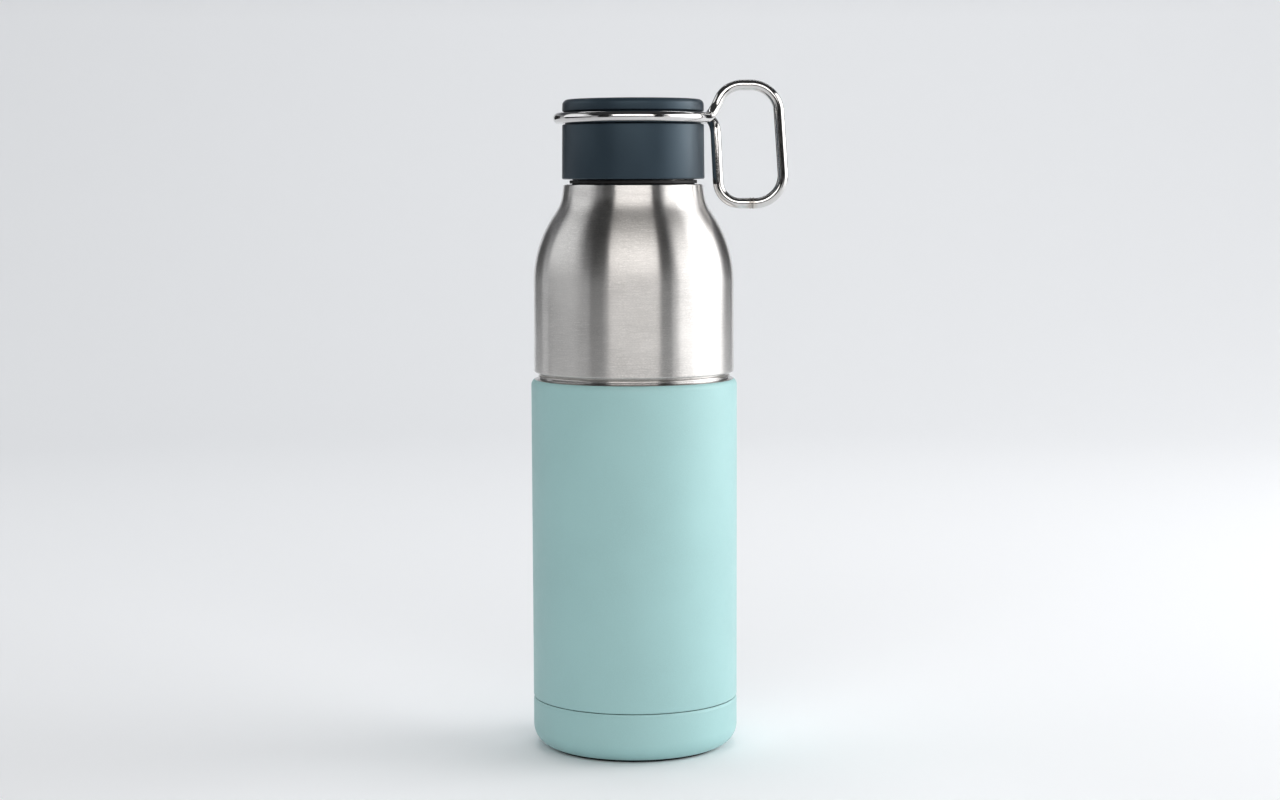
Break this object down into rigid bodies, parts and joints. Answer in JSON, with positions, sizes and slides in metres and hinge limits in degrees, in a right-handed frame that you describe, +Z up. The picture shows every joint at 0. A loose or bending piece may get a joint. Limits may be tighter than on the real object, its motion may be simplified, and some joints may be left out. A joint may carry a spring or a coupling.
{
  "type": "water bottle",
  "caption": "Slim double-walled steel water bottle, soft-touch coat on the lower half, screw lid with a swivelling wire ring that ends in a finger loop.",
  "frame": {"origin": "middle of the foot pad's flat underside, on the bottle's axis", "axes": "+Z up along the bottle's axis, +X towards the finger loop, +Y away from the side that the loop's rising strand passes"},
  "size_m": [0.0924, 0.074, 0.2401],
  "materials": {
    "brushed_steel": "brushed round the axis, bare stainless steel",
    "barrel_coat": "matt soft-touch powder coat, pale blue-green",
    "base_coat": "matt soft-touch powder coat, pale blue-green",
    "pad_silicone": "matt black silicone",
    "seal_glass": "solder-glass bead",
    "liner_steel": "electropolished stainless steel",
    "liner_bottom_steel": "electropolished stainless steel",
    "getter_metal": "pressed metal powder",
    "clip_steel": "bent spring strip",
    "ring_silicone": "satin black silicone",
    "lid_plastic": "satin grey-blue moulded plastic",
    "lid_top_plastic": "satin grey-blue moulded plastic",
    "insert_plastic": "black moulded plastic",
    "foam": "expanded foam",
    "gasket_silicone": "translucent white silicone",
    "polished_wire": "polished stainless wire, butt-welded"
  },
  "bodies": {
    "bottle": {"shoulder_shell": "brushed_steel", "barrel_shell": "barrel_coat", "base_cup": "base_coat", "foot_pad": "pad_silicone", "vacuum_seal": "seal_glass", "inner_flask": "liner_steel", "liner_bottom": "liner_bottom_steel", "getter": "getter_metal", "getter_clip": "clip_steel", "neck_ring": "ring_silicone"},
    "lid_seal": {"lid_gasket": "gasket_silicone"},
    "lid": {"lid_skirt": "lid_plastic", "lid_top": "lid_top_plastic", "lid_insert": "insert_plastic", "lid_foam": "foam"},
    "handle": {"carry_ring": "polished_wire"}
  },
  "joints": [
    {"name": "lid_lift", "type": "slide", "parent": "bottle", "child": "lid_seal", "axis": [0, 0, 1], "range_m": [0, 0.018]},
    {"name": "lid_turn", "type": "hinge", "parent": "lid_seal", "child": "lid", "pos_m": [0, 0, 0.2049], "axis": [0, 0, 1], "range_deg": [0, 1620]},
    {"name": "ring_swivel", "type": "hinge", "parent": "lid", "child": "handle", "pos_m": [0, 0, 0.2266], "axis": [0, 0, 1], "continuous": true}
  ],
  "couplings": [
    {"joint": "lid_lift", "follows": "lid_turn", "m_per_rad": 0.00063662}
  ]
}
